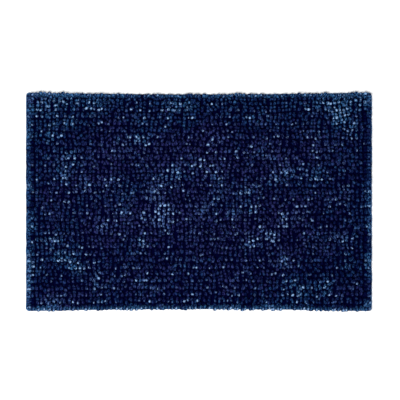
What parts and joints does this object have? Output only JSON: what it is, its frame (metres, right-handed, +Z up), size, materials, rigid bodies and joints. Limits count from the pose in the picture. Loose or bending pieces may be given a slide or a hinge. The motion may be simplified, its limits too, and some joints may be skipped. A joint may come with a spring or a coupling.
{
  "type": "bath mat",
  "caption": "Rectangular tufted cotton bath mat: upright loop pile in straight rows on a hemmed base cloth with a non-slip latex back.",
  "frame": {"origin": "on the floor, under the centre of the mat", "axes": "+X along the mat's length, +Y across its width and along the pile rows, +Z up out of the pile"},
  "size_m": [0.8, 0.5, 0.018],
  "materials": {
    "pile_yarn": "soft low-twist cotton yarn, dark navy, loop crowns rubbed paler",
    "base_cloth": "plain-woven cotton, navy, matt",
    "sewing_thread": "spun polyester sewing thread, navy",
    "latex": "sprayed latex foam coat, pale grey, matt",
    "satin_label": "blank white satin ribbon"
  },
  "bodies": {
    "root": {"base_cloth": "base_cloth", "latex_coating": "latex", "hem_seam_thread": "sewing_thread", "care_label": "satin_label", "pile_rows_01_02": "pile_yarn", "pile_rows_03_04": "pile_yarn", "pile_rows_05_06": "pile_yarn", "pile_rows_07_08": "pile_yarn", "pile_rows_09_10": "pile_yarn", "pile_rows_11_12": "pile_yarn", "pile_rows_13_14": "pile_yarn", "pile_rows_15_16": "pile_yarn", "pile_rows_17_18": "pile_yarn", "pile_rows_19_20": "pile_yarn", "pile_rows_21_22": "pile_yarn", "pile_rows_23_24": "pile_yarn", "pile_rows_25_26": "pile_yarn", "pile_rows_27_28": "pile_yarn", "pile_rows_29_30": "pile_yarn", "pile_rows_31_32": "pile_yarn", "pile_rows_33_34": "pile_yarn", "pile_rows_35_36": "pile_yarn", "pile_rows_37_38": "pile_yarn", "pile_rows_39_40": "pile_yarn", "pile_rows_41_42": "pile_yarn", "pile_rows_43_44": "pile_yarn", "pile_rows_45_46": "pile_yarn", "pile_rows_47_48": "pile_yarn", "pile_rows_49_50": "pile_yarn", "pile_rows_51_52": "pile_yarn", "pile_rows_53_54": "pile_yarn", "pile_rows_55_56": "pile_yarn", "pile_rows_57_58": "pile_yarn", "pile_rows_59_60": "pile_yarn", "pile_rows_61_62": "pile_yarn", "pile_rows_63_64": "pile_yarn", "pile_rows_65_66": "pile_yarn", "pile_rows_67_68": "pile_yarn", "pile_rows_69_70": "pile_yarn", "pile_rows_71_72": "pile_yarn", "pile_rows_73_74": "pile_yarn", "pile_rows_75_76": "pile_yarn", "pile_rows_77_78": "pile_yarn", "pile_rows_79_80": "pile_yarn", "pile_rows_81_82": "pile_yarn", "pile_rows_83_84": "pile_yarn"}
  },
  "joints": []
}
